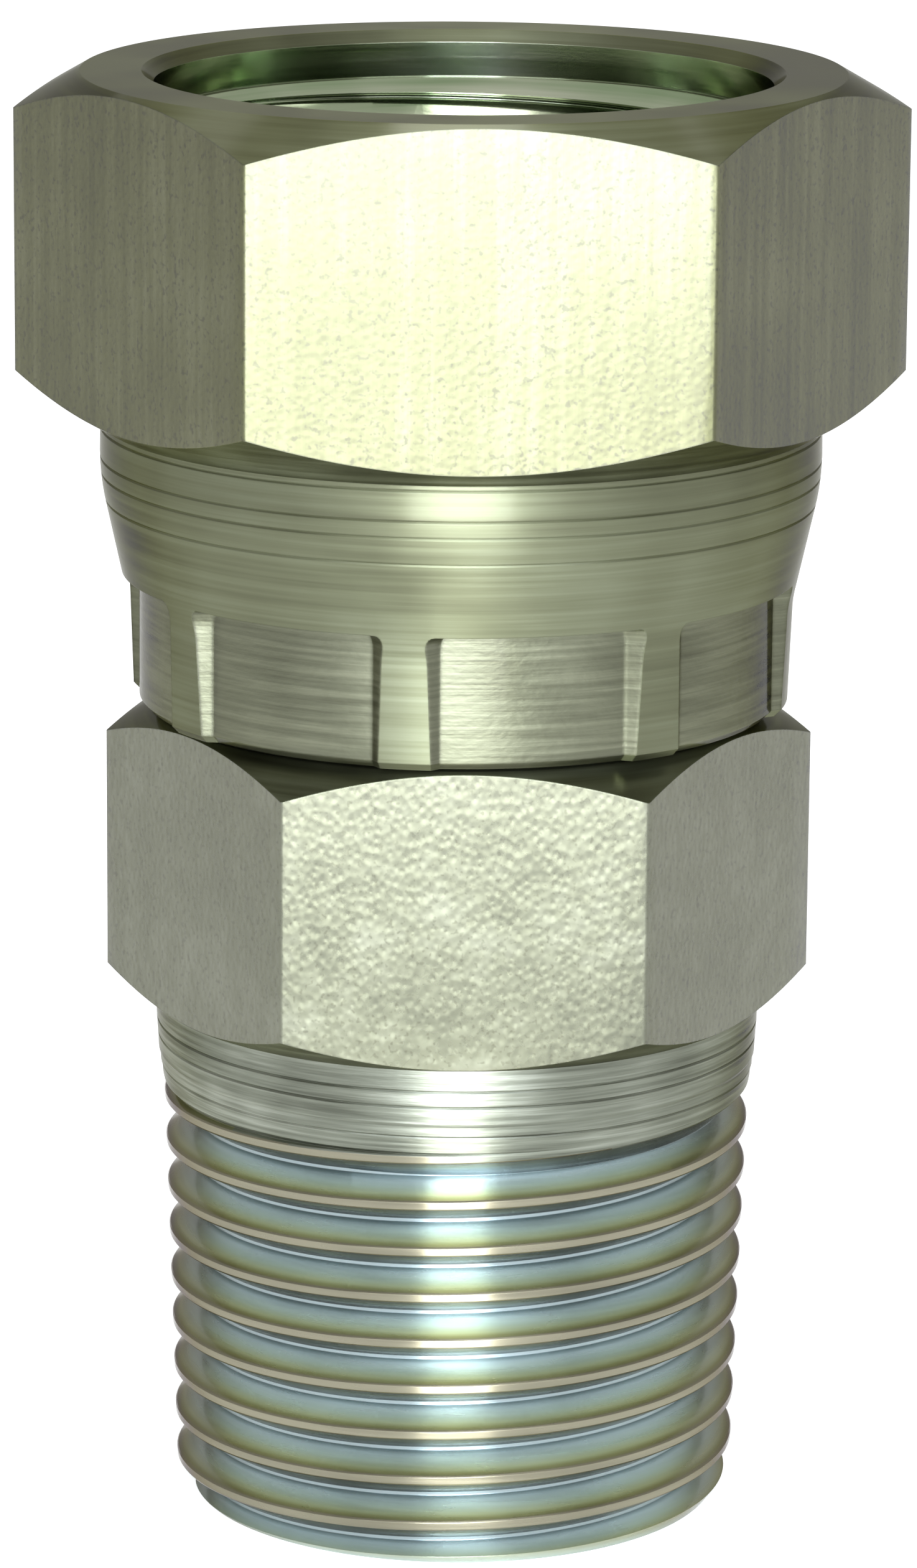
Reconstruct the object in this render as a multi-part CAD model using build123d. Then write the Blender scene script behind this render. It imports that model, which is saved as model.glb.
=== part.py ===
from build123d import *
import os
from math import radians, tan

# Swivel adapter: a hexagon body with a taper pipe thread, and a nut that turns freely on its head.
# Millimetres. The origin is the centre of the male end face, and +Z runs up the common axis.

# Male taper thread, drawn as the envelope over its crests
THREAD_END_D = 16.76  # over the crests at the end face
THREAD_TAPER = 1 / 16  # growth of diameter along the length
THREAD_LENGTH = 12.9  # end face to the last faint turn
END_FACE_D = 15.74  # left flat by the lead-in chamfer
END_CHAMFER_LENGTH = 0.7

# Plain shoulder between the thread and the hexagon
SHOULDER_START_D = 17.74
SHOULDER_END_D = 18.06
SHOULDER_START_LENGTH = 0.45
SHOULDER_LENGTH = 1.98

# Body hexagon
BODY_ACROSS_FLATS = 18.18
BODY_HEX_HEIGHT = 8.84
BODY_TOP_CIRCLE_D = 17.9
HEX_CHAMFER_ANGLE = 30  # degrees from the end faces
HEX_EDGE_RADIUS = 0.12

# Flow passage and the sealing cones at both ends
SEAT_SHARE = 0.5575  # of the wall at the male end face
SEAT_HALF_ANGLE = 30  # degrees from the axis
NOSE_WALL = 2.2  # around the passage
NOSE_SHANK_LENGTH = 1.4
NOSE_CONE_LENGTH = 2.6
NOSE_BORE_CHAMFER = 0.2

# Neck and head that hold the nut
NECK_ROOT_RADIUS = 0.3
HEAD_RIM_LENGTH = 1.95
HEAD_BEVEL_ANGLE = 45  # degrees, under the head

# Swivel nut, outside. The swivel side is sized by its collar, and every step from it is radial.
COLLAR_D = 21.26
COLLAR_LENGTH = 1.66
NUT_FLAT_STEP = 0.735  # collar out to the flats of the hexagon
NUT_TOP_STEP = 0.185  # flats in to the circle that the top chamfer leaves
NUT_HEX_HEIGHT = 10.26
NUT_TURN = 1.33  # degrees from the body's flats, as it happened to stop
SWAGE_STEP = 0.77  # collar in to the top of the skirt
TAPER_LENGTH = 3.5  # where the wall was swaged inwards
TAPER_TOP_RADIUS = 7.0
TAPER_FOOT_RADIUS = 3.0
SKIRT_DRAFT = 0.12  # top of the skirt in to its foot
SKIRT_LENGTH = 3.28
SKIRT_FOOT_CHAMFER = 0.22

# Swivel nut, inside
WALL = 1.63  # collar and skirt
RELIEF_STEP = 1.15  # chamber in to the thread's minor diameter
THREAD_RELIEF_ANGLE = 45  # degrees from the axis
NUT_THREAD_LENGTH = 6.2
TAP_ENTRY_STEP = 0.95  # minor diameter out to the end of the tap entry
TAP_ENTRY_ANGLE = 45  # degrees from the axis
MOUTH_STEP = 0.23  # tap entry out to the mouth
MOUTH_DEPTH = 1.4
MOUTH_CHAMFER = 0.35

# Crimp pads, pressed into the skirt by the jaws of a closing tool
PAD_COUNT = 8
PAD_FLOOR_ANGLE = 33.2  # degrees that each jaw spans
PAD_DEPTH = 0.25  # below the foot of the skirt
PAD_HEIGHT = 3.95  # foot of the skirt to the top of a pad
PAD_CORNER_RADIUS = 0.5
PAD_TURN = 10.8  # degrees from the middle of a nut flat to the middle of a pad
PAD_WALL_ANGLE = 45  # degrees between a side wall and the radius

# Clearances between the two pieces
RUNNING_GAP = 0.08  # radial, head in nut
FOOT_GAP = 0.15  # nut foot above the body hexagon
HEAD_TOP_GAP = 0.25  # under the relief cone
HEAD_UNDER_GAP = 0.25  # above the crimp pads
NECK_GAP = 0.31  # radial, neck inside the crimp pads
NOSE_GAP = 0.65  # radial, nose inside the nut's thread

# Diameters of the nut that follow from its collar
NUT_ACROSS_FLATS = COLLAR_D + 2 * NUT_FLAT_STEP
NUT_TOP_CIRCLE_D = NUT_ACROSS_FLATS - 2 * NUT_TOP_STEP
SKIRT_TOP_D = COLLAR_D - 2 * SWAGE_STEP
SKIRT_FOOT_D = SKIRT_TOP_D - 2 * SKIRT_DRAFT
CHAMBER_R = COLLAR_D / 2 - WALL
NUT_THREAD_MINOR_D = 2 * (CHAMBER_R - RELIEF_STEP)
TAP_ENTRY_D = NUT_THREAD_MINOR_D + 2 * TAP_ENTRY_STEP
MOUTH_D = TAP_ENTRY_D + 2 * MOUTH_STEP

# Diameters of the body that follow from the nut's
HEAD_R = CHAMBER_R - RUNNING_GAP
NECK_D = SKIRT_FOOT_D - 2 * (WALL + PAD_DEPTH + NECK_GAP)
NOSE_D = NUT_THREAD_MINOR_D - 2 * NOSE_GAP
BORE_D = NOSE_D - 2 * NOSE_WALL
END_SEAT_D = BORE_D + (END_FACE_D - BORE_D) * SEAT_SHARE

# Levels along the axis
BODY_HEX_BOTTOM = THREAD_LENGTH + SHOULDER_LENGTH + SHOULDER_START_LENGTH
BODY_HEX_TOP = BODY_HEX_BOTTOM + BODY_HEX_HEIGHT
NUT_FOOT = BODY_HEX_TOP + FOOT_GAP
TAPER_FOOT = NUT_FOOT + SKIRT_LENGTH
TAPER_TOP = TAPER_FOOT + TAPER_LENGTH
NUT_HEX_BOTTOM = TAPER_TOP + COLLAR_LENGTH
NUT_TOP = NUT_HEX_BOTTOM + NUT_HEX_HEIGHT
MOUTH_FLOOR = NUT_TOP - MOUTH_DEPTH

# The nut's chamber, and the head that runs in it
TAP_ENTRY_LENGTH = TAP_ENTRY_STEP / tan(radians(TAP_ENTRY_ANGLE))
THREAD_RELIEF_TOP = MOUTH_FLOOR - TAP_ENTRY_LENGTH - NUT_THREAD_LENGTH
CHAMBER_TOP = THREAD_RELIEF_TOP - RELIEF_STEP / tan(radians(THREAD_RELIEF_ANGLE))
TAPER_SLOPE = SWAGE_STEP / TAPER_LENGTH
HEAD_TOP = CHAMBER_TOP - HEAD_TOP_GAP
HEAD_UNDER = NUT_FOOT + PAD_HEIGHT + HEAD_UNDER_GAP
NOSE_TOP = HEAD_TOP + NOSE_SHANK_LENGTH + NOSE_CONE_LENGTH


def half_section(points):
    """Face in the XZ plane through (radius, height) points."""
    return Plane.XZ * make_face(Polyline(*points, close=True))


def rounded(face, radius, *corner):
    """The half section with its corner at (radius, height) rounded."""
    vertex = face.vertices().sort_by_distance((corner[0], 0, corner[1]))[0]
    return fillet(vertex, radius)


def turned(face):
    """Solid of revolution about the common axis."""
    return revolve(face, Axis.Z)


def hexagon_bar(across_flats, foot, foot_circle, top, top_circle):
    """Hexagon bar between two heights, its corners turned off to a circle at each end."""
    outline = RegularPolygon(across_flats / 2, 6, major_radius=False)
    outline = fillet(outline.vertices(), HEX_EDGE_RADIUS)
    bar = extrude(Pos(0, 0, foot) * outline, top - foot)
    reach = across_flats  # well past the corners
    rise = tan(radians(HEX_CHAMFER_ANGLE))
    cones = half_section([
        (0, foot),
        (foot_circle / 2, foot),
        (reach, foot + (reach - foot_circle / 2) * rise),
        (reach, top - (reach - top_circle / 2) * rise),
        (top_circle / 2, top),
        (0, top),
    ])
    return bar & turned(cones)


def thread_radius(height):
    """Radius of the taper over the crests at a height."""
    return (THREAD_END_D + height * THREAD_TAPER) / 2


def threaded_end():
    """Taper with its lead-in chamfer, and the plain shoulder up to the hexagon."""
    return turned(half_section([
        (0, 0),
        (END_FACE_D / 2, 0),
        (thread_radius(END_CHAMFER_LENGTH), END_CHAMFER_LENGTH),
        (thread_radius(THREAD_LENGTH), THREAD_LENGTH),
        (SHOULDER_START_D / 2, THREAD_LENGTH + SHOULDER_START_LENGTH),
        (SHOULDER_END_D / 2, BODY_HEX_BOTTOM),
        (0, BODY_HEX_BOTTOM),
    ]))


def neck_and_head():
    """Neck, the head that the crimp closes behind, and the cone nose that seals."""
    neck = NECK_D / 2
    bevel = tan(radians(HEAD_BEVEL_ANGLE))
    rim_foot = HEAD_TOP - HEAD_RIM_LENGTH
    # Below its rim the head follows the nut's swaged wall down to where the bevel meets it.
    drop = (rim_foot - HEAD_UNDER - (HEAD_R - neck) * bevel) / (1 - TAPER_SLOPE * bevel)
    nose = NOSE_D / 2
    tip = nose - NOSE_CONE_LENGTH * tan(radians(SEAT_HALF_ANGLE))
    section = half_section([
        (0, BODY_HEX_TOP - NECK_ROOT_RADIUS),
        (BODY_TOP_CIRCLE_D / 2, BODY_HEX_TOP - NECK_ROOT_RADIUS),
        (BODY_TOP_CIRCLE_D / 2, BODY_HEX_TOP),
        (neck, BODY_HEX_TOP),
        (neck, HEAD_UNDER),
        (HEAD_R - drop * TAPER_SLOPE, rim_foot - drop),
        (HEAD_R, rim_foot),
        (HEAD_R, HEAD_TOP),
        (nose, HEAD_TOP),
        (nose, HEAD_TOP + NOSE_SHANK_LENGTH),
        (tip, NOSE_TOP),
        (0, NOSE_TOP),
    ])
    return turned(rounded(section, NECK_ROOT_RADIUS, neck, BODY_HEX_TOP))


def passage():
    """Flow passage with the cone seat in the male end and a broken edge at the nose."""
    bore = BORE_D / 2
    seat_depth = (END_SEAT_D / 2 - bore) / tan(radians(SEAT_HALF_ANGLE))
    return turned(half_section([
        (0, 0),
        (END_SEAT_D / 2, 0),
        (bore, seat_depth),
        (bore, NOSE_TOP - NOSE_BORE_CHAMFER),
        (bore + NOSE_BORE_CHAMFER, NOSE_TOP),
        (0, NOSE_TOP),
    ]))


def make_body():
    """The one-piece turned body."""
    bar = hexagon_bar(BODY_ACROSS_FLATS, BODY_HEX_BOTTOM, SHOULDER_END_D, BODY_HEX_TOP, BODY_TOP_CIRCLE_D)
    return threaded_end() + bar + neck_and_head() - passage()


def nut_outside():
    """Collar, swaged taper and skirt as one turned shape under the hexagon."""
    section = half_section([
        (0, NUT_FOOT),
        (SKIRT_FOOT_D / 2, NUT_FOOT),
        (SKIRT_TOP_D / 2, TAPER_FOOT),
        (COLLAR_D / 2, TAPER_TOP),
        (COLLAR_D / 2, NUT_HEX_BOTTOM),
        (0, NUT_HEX_BOTTOM),
    ])
    section = rounded(section, TAPER_TOP_RADIUS, COLLAR_D / 2, TAPER_TOP)
    section = rounded(section, TAPER_FOOT_RADIUS, SKIRT_TOP_D / 2, TAPER_FOOT)
    return turned(section)


def nut_inside():
    """Mouth, thread at its minor diameter, relief, and the chamber that the head runs in."""
    minor = NUT_THREAD_MINOR_D / 2
    section = half_section([
        (0, NUT_FOOT),
        (SKIRT_FOOT_D / 2 - WALL, NUT_FOOT),
        (SKIRT_TOP_D / 2 - WALL, TAPER_FOOT),
        (CHAMBER_R, TAPER_TOP),
        (CHAMBER_R, CHAMBER_TOP),
        (minor, THREAD_RELIEF_TOP),
        (minor, MOUTH_FLOOR - TAP_ENTRY_LENGTH),
        (TAP_ENTRY_D / 2, MOUTH_FLOOR),
        (MOUTH_D / 2, MOUTH_FLOOR),
        (MOUTH_D / 2, NUT_TOP - MOUTH_CHAMFER),
        (MOUTH_D / 2 + MOUTH_CHAMFER, NUT_TOP),
        (0, NUT_TOP),
    ])
    return turned(section)


def pad_block(floor_radius, outer_radius):
    """One jaw's reach: a floor on the given radius, side walls that open outwards, rounded top corners."""
    half = PAD_FLOOR_ANGLE / 2
    floor = CenterArc((0, 0), floor_radius, -half, PAD_FLOOR_ANGLE)
    low, high = floor @ 0, floor @ 1
    run = outer_radius - floor_radius
    low_out = low + Vector(run, 0).rotate(Axis.Z, -half - PAD_WALL_ANGLE)
    high_out = high + Vector(run, 0).rotate(Axis.Z, half + PAD_WALL_ANGLE)
    outline = make_face([floor, Line(high, high_out), Line(high_out, low_out), Line(low_out, low)])
    block = extrude(Pos(0, 0, NUT_FOOT) * outline, PAD_HEIGHT)
    top = block.faces().sort_by(Axis.Z)[-1]
    sides = [edge for edge in top.edges() if edge.geom_type == GeomType.LINE and edge.length < run * 1.01]
    return fillet(sides, PAD_CORNER_RADIUS)


def around(block):
    """Copies of a pad block on the nut's jaw positions."""
    first = NUT_TURN + PAD_TURN - 90
    return [Rot(0, 0, first + n * 360 / PAD_COUNT) * block for n in range(PAD_COUNT)]


def make_swivel_nut():
    """The one-piece nut, with its skirt closed behind the head by eight pads."""
    hexagon = hexagon_bar(NUT_ACROSS_FLATS, NUT_HEX_BOTTOM, COLLAR_D, NUT_TOP, NUT_TOP_CIRCLE_D)
    solid = Rot(0, 0, NUT_TURN) * hexagon + nut_outside() - nut_inside()
    skirt_inside = SKIRT_FOOT_D / 2 - WALL
    inward = turned(half_section([
        (skirt_inside - PAD_DEPTH, NUT_FOOT),
        (skirt_inside + WALL / 2, NUT_FOOT),
        (skirt_inside + WALL / 2, NUT_FOOT + PAD_HEIGHT),
        (skirt_inside, NUT_FOOT + PAD_HEIGHT),
        (skirt_inside - PAD_DEPTH, NUT_FOOT + PAD_HEIGHT - PAD_DEPTH),
    ]))
    for block in around(pad_block(SKIRT_FOOT_D / 2 - WALL - PAD_DEPTH, SKIRT_FOOT_D / 2)):
        solid += block & inward
    for block in around(pad_block(SKIRT_FOOT_D / 2 - PAD_DEPTH, COLLAR_D / 2 + WALL)):
        solid -= block
    foot = solid.faces().filter_by(Axis.Z).sort_by(Axis.Z)[0]
    return chamfer(foot.outer_wire().edges(), SKIRT_FOOT_CHAMFER)


if __name__ == "__main__":
    os.makedirs("parts", exist_ok=True)
    export_step(make_body(), "parts/body.step")
    export_step(make_swivel_nut(), "parts/swivel_nut.step")
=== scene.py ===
"""Dressed model of a hydraulic swivel adapter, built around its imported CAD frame.

The adapter has two pieces of zinc-plated steel: a body with a taper pipe thread, a shoulder and a hexagon,
and a swivel nut that is crimped onto the body's head by eight pads. Both are drawn here in millimetres on
the common axis, as on a bench, and brought to metres once they are whole.
"""

import logging
import math
from dataclasses import dataclass
from enum import Enum
from typing import Callable, Sequence

import bpy
import numpy as np
from mathutils import Matrix, Vector

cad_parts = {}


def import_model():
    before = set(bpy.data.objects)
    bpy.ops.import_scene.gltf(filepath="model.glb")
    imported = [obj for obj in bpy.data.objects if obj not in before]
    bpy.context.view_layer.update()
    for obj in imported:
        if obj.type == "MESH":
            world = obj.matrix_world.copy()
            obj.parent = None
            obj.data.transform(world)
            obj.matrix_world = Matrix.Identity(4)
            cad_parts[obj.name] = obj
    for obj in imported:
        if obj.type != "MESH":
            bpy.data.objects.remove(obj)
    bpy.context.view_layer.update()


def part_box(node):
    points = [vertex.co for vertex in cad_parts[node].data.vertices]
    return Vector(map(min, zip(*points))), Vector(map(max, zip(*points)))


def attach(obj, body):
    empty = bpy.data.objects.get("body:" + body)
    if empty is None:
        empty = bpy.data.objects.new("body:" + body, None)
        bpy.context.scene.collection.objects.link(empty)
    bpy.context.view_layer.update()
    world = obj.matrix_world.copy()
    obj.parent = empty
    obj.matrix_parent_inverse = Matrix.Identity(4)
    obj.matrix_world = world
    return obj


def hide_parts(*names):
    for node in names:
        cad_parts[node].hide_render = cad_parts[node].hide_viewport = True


LOG = logging.getLogger("swivel_adapter")
MILLIMETRE = 0.001  # metres
TURNING_STEPS = 180  # facets round a turned surface

# Lengths in millimetres.
MERGE = 1e-4  # points nearer than this are one
LEVEL = 1e-3  # heights nearer than this are the same
HAIR = 0.01  # a step too small to see
SPARE = 0.5  # how far a cutting tool stands past what it cuts
GROOVE_WIDTH = 0.09  # a fine tool groove, along the axis

# The male thread, which its finish follows too.
CREST_RADIUS = 8.38  # millimetres, at the end face
TAPER = 1 / 16  # of the diameter, along the axis

# Rise of a face's unit normal.
UPRIGHT = 0.05  # below this the face stands upright
STEEP = 0.5  # below this it is steep
LYING = 0.9  # above this it lies level
FACING_UP = 0.98  # above this it is a flat ledge

# Patterns that all finishes share, per millimetre.
CLOUDS = 0.22  # slow drifts of the film, a few millimetres across
DUST = 6.5  # fine specks, a few to the millimetre

Corner = tuple[float, float]  # radius and height of a point on a turned outline, in millimetres
Solid = bpy.types.Object
Tree = bpy.types.NodeTree
Socket = bpy.types.NodeSocket


class Cut(Enum):
    """How one solid works on another."""

    WELD = "UNION"
    REMOVE = "DIFFERENCE"
    KEEP_COMMON = "INTERSECT"


class Kind(Enum):
    """What is picked on a mesh."""

    EDGES = "EDGE"
    FACES = "FACE"


class Peel(Enum):
    """What the fine relief of a surface is like."""

    WAVY = "soft waves, as of rings and scuffs"
    PITTED = "small round pits, as of pickled bar"


def pick_up(piece: Solid) -> None:
    """Deselects everything, then selects one piece and makes it active.

    Args:
        piece: the piece to work on next.
    """
    bpy.ops.object.select_all(action="DESELECT")
    piece.select_set(True)
    bpy.context.view_layer.objects.active = piece


def draw_line(name: str, points: Sequence[Sequence[float]]) -> Solid:
    """Draws a chain of straight edges, one extruded after the other.

    Args:
        name: name of the new object.
        points: places of the chain's vertices, in millimetres.

    Returns:
        The new object, with everything selected.
    """
    bpy.ops.object.select_all(action="DESELECT")
    bpy.ops.mesh.primitive_plane_add(size=0.1, location=(0, 0, 0))
    piece = bpy.context.object
    piece.name = name
    bpy.ops.object.mode_set(mode="EDIT")
    bpy.ops.mesh.select_mode(type="VERT")
    bpy.ops.mesh.select_all(action="SELECT")
    bpy.ops.mesh.merge(type="CENTER")
    bpy.ops.transform.translate(value=tuple(points[0]))
    for start, end in zip(points, points[1:]):
        step = tuple(b - a for a, b in zip(start, end))
        bpy.ops.mesh.extrude_vertices_move(TRANSFORM_OT_translate={"value": step})
    bpy.ops.mesh.select_all(action="SELECT")
    bpy.ops.object.mode_set(mode="OBJECT")
    return piece


def close_up(piece: Solid) -> None:
    """Merges the doubles of a spun or screwed shape and turns its faces outwards.

    Args:
        piece: the shape to close.
    """
    pick_up(piece)
    bpy.ops.object.mode_set(mode="EDIT")
    bpy.ops.mesh.select_all(action="SELECT")
    bpy.ops.mesh.remove_doubles(threshold=MERGE)
    bpy.ops.mesh.normals_make_consistent(inside=False)
    bpy.ops.object.mode_set(mode="OBJECT")


def turn(name: str, outline: Sequence[Corner]) -> Solid:
    """Turns a solid on the axis from a half outline that starts and ends on the axis.

    Args:
        name: name of the new object.
        outline: radius and height of each corner, in millimetres.

    Returns:
        The closed solid.
    """
    piece = draw_line(name, [(radius, 0.0, height) for radius, height in outline])
    bpy.ops.object.mode_set(mode="EDIT")
    bpy.ops.mesh.select_all(action="SELECT")
    bpy.ops.mesh.spin(steps=TURNING_STEPS, angle=2 * math.pi, center=(0, 0, 0), axis=(0, 0, 1))
    bpy.ops.object.mode_set(mode="OBJECT")
    close_up(piece)
    return piece


def work(piece: Solid, tool: Solid, cut: Cut) -> None:
    """Welds, removes or intersects a tool solid with a piece, and uses the tool up.

    Args:
        piece: the solid that stays.
        tool: the solid that is used up.
        cut: what the tool does.
    """
    modifier = piece.modifiers.new("cut", "BOOLEAN")
    modifier.operation = cut.value
    modifier.solver = "EXACT"
    modifier.object = tool
    pick_up(piece)
    bpy.ops.object.modifier_apply(modifier=modifier.name)
    bpy.data.objects.remove(tool, do_unlink=True)


def copies_around(piece: Solid, angles: Sequence[float]) -> Solid:
    """Copies a solid to several angles round the axis, each with its own mesh, and joins the copies.

    Args:
        piece: the solid, drawn towards +X. It is used up.
        angles: degrees from +X.

    Returns:
        One object with all the copies.
    """
    made = []
    for angle in angles:
        copy = piece.copy()
        copy.data = piece.data.copy()
        copy.data.transform(Matrix.Rotation(math.radians(angle), 4, "Z"))
        bpy.context.scene.collection.objects.link(copy)
        made.append(copy)
    bpy.data.objects.remove(piece, do_unlink=True)
    pick_up(made[0])
    for copy in made[1:]:
        copy.select_set(True)
    bpy.ops.object.join()
    return bpy.context.object


def select(piece: Solid, kind: Kind, wanted: Callable[[Vector, Vector], bool]) -> None:
    """Opens a piece in edit mode with the edges or faces selected that a test wants.

    Args:
        piece: the piece to open.
        kind: whether edges or faces are picked.
        wanted: test on an edge's two ends, or on a face's centre and normal.
    """
    pick_up(piece)
    mesh = piece.data
    for items in (mesh.vertices, mesh.edges, mesh.polygons):
        items.foreach_set("select", [False] * len(items))
    bpy.context.tool_settings.mesh_select_mode = (False, kind is Kind.EDGES, kind is Kind.FACES)
    if kind is Kind.EDGES:
        for edge in mesh.edges:
            low, high = (mesh.vertices[i].co for i in edge.vertices)
            edge.select = wanted(low, high)
    else:
        for face in mesh.polygons:
            face.select = wanted(face.center, face.normal)
    bpy.ops.object.mode_set(mode="EDIT")
    bpy.ops.mesh.select_mode(type=kind.value)


def round_corner(
    before: Corner, corner: Corner, after: Corner, radius: float, steps: int = 8
) -> list[Corner]:
    """Rounds one corner of an outline with an arc.

    Args:
        before: the corner before it.
        corner: the corner to round.
        after: the corner after it.
        radius: radius of the arc in millimetres.
        steps: straight pieces of the arc.

    Returns:
        The arc's points in the outline's order.
    """
    middle = Vector(corner)
    back, forth = (Vector(before) - middle).normalized(), (Vector(after) - middle).normalized()
    half = back.angle(forth) / 2
    centre = middle + (back + forth).normalized() * radius / math.sin(half)
    first = middle + back * radius / math.tan(half) - centre
    last = middle + forth * radius / math.tan(half) - centre
    sweep = first.angle_signed(last)
    arc = []
    for step in range(steps + 1):
        angle = -sweep * step / steps
        spoke = Matrix.Rotation(angle, 2) @ first
        arc.append(tuple(centre + spoke))
    return arc


def grooved(
    outline: Sequence[Corner], heights: Sequence[float], depth: float, width: float = GROOVE_WIDTH
) -> list[Corner]:
    """Adds fine tool grooves to the part of an outline that rises steadily.

    Args:
        outline: corners with rising heights.
        heights: middle of each groove.
        depth: depth of a groove.
        width: width of a groove along the axis.

    Returns:
        The outline with three more points for each groove.
    """
    levels, radii = [c[1] for c in outline], [c[0] for c in outline]
    extra = []
    for height in heights:
        for offset, cut in ((-width / 2, 0.0), (0.0, depth), (width / 2, 0.0)):
            extra.append((float(np.interp(height + offset, levels, radii)) - cut, height + offset))
    kept = [c for c in outline if all(abs(c[1] - h) > width / 2 + HAIR for h in heights)]
    return sorted([*kept, *extra], key=lambda c: c[1])


@dataclass(frozen=True)
class HexagonBar:
    """A hexagon of drawn bar, its corners turned off at both ends.

    Lengths are in millimetres. Turned by is in degrees, from a flat that faces the camera side, and the
    circles are the diameters that the turning leaves on the end faces.
    """

    across_flats: float
    foot: float
    top: float
    foot_circle: float
    top_circle: float
    turned_by: float = 0.0
    chamfer_angle: float = 30.0
    edge_softening: float = 0.07
    corner_share: float = 0.65  # radius past the corners, as a share of the width across flats
    flat_share: float = 0.49  # radius just inside the flats, as the same share

    def build(self, name: str) -> Solid:
        """Draws the bar, softens its long edges and turns its ends.

        Args:
            name: name of the new object.

        Returns:
            The closed hexagon.
        """
        bpy.ops.object.select_all(action="DESELECT")
        bpy.ops.mesh.primitive_cylinder_add(
            vertices=6,
            radius=self.across_flats / math.sqrt(3),
            depth=self.top - self.foot + 2 * SPARE,
            location=(0, 0, (self.top + self.foot) / 2),
            rotation=(0, 0, math.radians(30 + self.turned_by)),
        )
        bar = bpy.context.object
        bar.name = name
        bpy.ops.object.transform_apply(location=True, rotation=True, scale=True)
        half_height = (self.top - self.foot) / 2
        select(bar, Kind.EDGES, lambda low, high: abs(low.z - high.z) > half_height)
        bpy.ops.mesh.bevel(offset=self.edge_softening, segments=3, affect="EDGES")
        bpy.ops.object.mode_set(mode="OBJECT")
        reach, rise = self.across_flats * self.corner_share, math.tan(math.radians(self.chamfer_angle))
        foot, top = self.foot_circle / 2, self.top_circle / 2
        ends = turn("turned_ends", [
            (0, self.foot),
            (foot, self.foot),
            (reach, self.foot + (reach - foot) * rise),
            (reach, self.top - (reach - top) * rise),
            (top, self.top),
            (0, self.top),
        ])
        work(bar, ends, Cut.KEEP_COMMON)
        return bar

    def is_flat(self, centre: Vector, normal: Vector) -> bool:
        """Says whether a face lies on the flats or the softened edges between them."""
        outside = centre.xy.length > self.across_flats * self.flat_share
        return abs(normal.z) < UPRIGHT and outside and self.foot < centre.z < self.top


@dataclass(frozen=True)
class PipeThread:
    """A right-handed thread of 18 turns to the inch, cut with a flat crest and a narrow root.

    Lengths are in millimetres. Crest height is where a crest passes the seen side, and the seen side is its
    direction in degrees from +X.
    """

    crest_radius: float
    crest_width: float
    root_width: float
    crest_height: float
    taper: float = 0.0
    pitch: float = 25.4 / 18
    half_angle: float = 30.0
    seen_side: float = -91.2
    crest_softening: float = 0.035
    softening_share: float = 0.3  # of the softening, by which it widens the crest
    steps: int = 144
    turns_below: float = 1.5  # spare turns, which the flat ends cut off
    turns_above: float = 2.0

    @property
    def slope(self) -> float:
        """Length along the axis that a flank takes for each millimetre of depth."""
        return math.tan(math.radians(self.half_angle))

    @property
    def depth(self) -> float:
        """Height of the thread form, from root to crest."""
        return (self.pitch - self.crest_width - self.root_width) / 2 / self.slope

    def rod(self, name: str, low: float, high: float) -> Solid:
        """Makes a threaded rod with flat ends by screwing one turn's outline up the axis.

        Args:
            name: name of the new object.
            low: height of the lower end.
            high: height of the upper end.

        Returns:
            The closed rod.
        """
        middle = self.crest_height - self.seen_side / 360 * self.pitch
        first = middle - math.ceil((middle - low) / self.pitch + self.turns_below) * self.pitch
        crest, soft = self.crest_width / 2, self.crest_softening
        half = [
            (self.crest_radius - self.depth, self.pitch / 2),
            (self.crest_radius - self.depth, crest + self.depth * self.slope),
            (self.crest_radius - soft, crest + soft * self.softening_share),
            (self.crest_radius, crest - soft),
        ]
        one_turn = [(r, -z) for r, z in half] + [(r, z) for r, z in reversed(half)]
        rod = draw_line(name, [(r, 0.0, first + z) for r, z in one_turn])
        screw = rod.modifiers.new("screw", "SCREW")
        screw.axis, screw.angle, screw.screw_offset = "Z", 2 * math.pi, self.pitch
        screw.iterations = math.ceil((high - first) / self.pitch + self.turns_above)
        screw.steps = screw.render_steps = self.steps
        screw.use_merge_vertices, screw.merge_threshold = True, MERGE
        pick_up(rod)
        bpy.ops.object.modifier_apply(modifier=screw.name)
        for height, lower in ((low, True), (high, False)):
            bpy.ops.object.mode_set(mode="EDIT")
            bpy.ops.mesh.select_all(action="SELECT")
            bpy.ops.mesh.bisect(
                plane_co=(0, 0, height),
                plane_no=(0, 0, 1),
                use_fill=True,
                clear_inner=lower,
                clear_outer=not lower,
            )
            bpy.ops.object.mode_set(mode="OBJECT")
        close_up(rod)
        if self.taper:
            cone = rod.modifiers.new("taper", "SIMPLE_DEFORM")
            cone.deform_method, cone.deform_axis = "TAPER", "Z"
            cone.factor = (high - low) * self.taper / 2 / self.crest_radius
            pick_up(rod)
            bpy.ops.object.modifier_apply(modifier=cone.name)
        return rod


def linear(code: str) -> tuple[float, float, float, float]:
    """Turns an sRGB hex colour into Blender's linear values."""
    parts = [int(code[i:i + 2], 16) / 255 for i in (1, 3, 5)]
    return (*(c / 12.92 if c <= 0.04045 else ((c + 0.055) / 1.055) ** 2.4 for c in parts), 1.0)


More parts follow.
